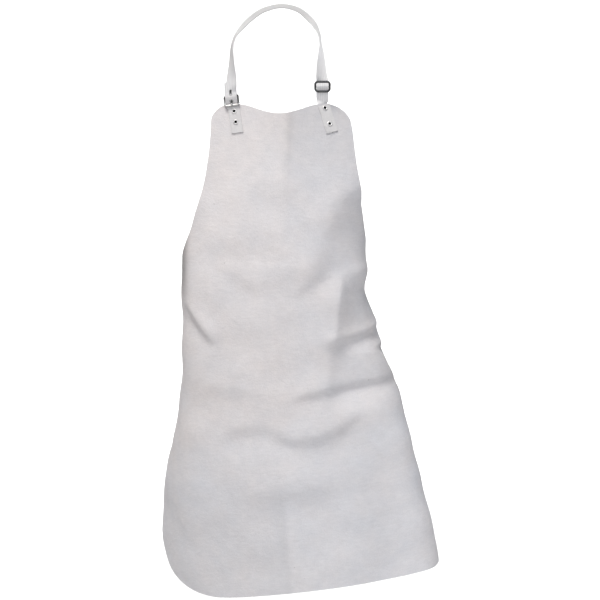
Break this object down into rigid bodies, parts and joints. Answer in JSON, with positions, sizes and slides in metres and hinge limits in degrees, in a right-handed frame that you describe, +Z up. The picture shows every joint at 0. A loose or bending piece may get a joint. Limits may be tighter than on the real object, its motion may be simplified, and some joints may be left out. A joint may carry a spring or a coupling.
{
  "type": "protective apron",
  "caption": "Bib-style leather work apron in its worn shape, with a woven neck strap, a prong buckle on one side and a slider buckle on the other.",
  "frame": {"origin": "underside of the neck strap where it rests on the back of the neck, on the middle line of the strap", "axes": "+Z up; +X to the right of someone looking at the front of the apron; the front faces -Y"},
  "size_m": [0.5625, 0.3225, 1.1885],
  "materials": {
    "split_leather": "matt nap",
    "tab_leather": "matt nap",
    "webbing": "woven",
    "dark_nickel": "dark plated",
    "nickel": "satin plated"
  },
  "bodies": {
    "root": {"apron_body": "split_leather", "left_billet": "tab_leather", "right_tab": "tab_leather", "neck_strap": "webbing", "buckle_frame": "nickel", "buckle_prong": "nickel", "slider": "dark_nickel", "left_rivet_upper": "nickel", "left_rivet_lower": "nickel", "right_rivet_upper": "nickel", "right_rivet_lower": "nickel"}
  },
  "joints": []
}
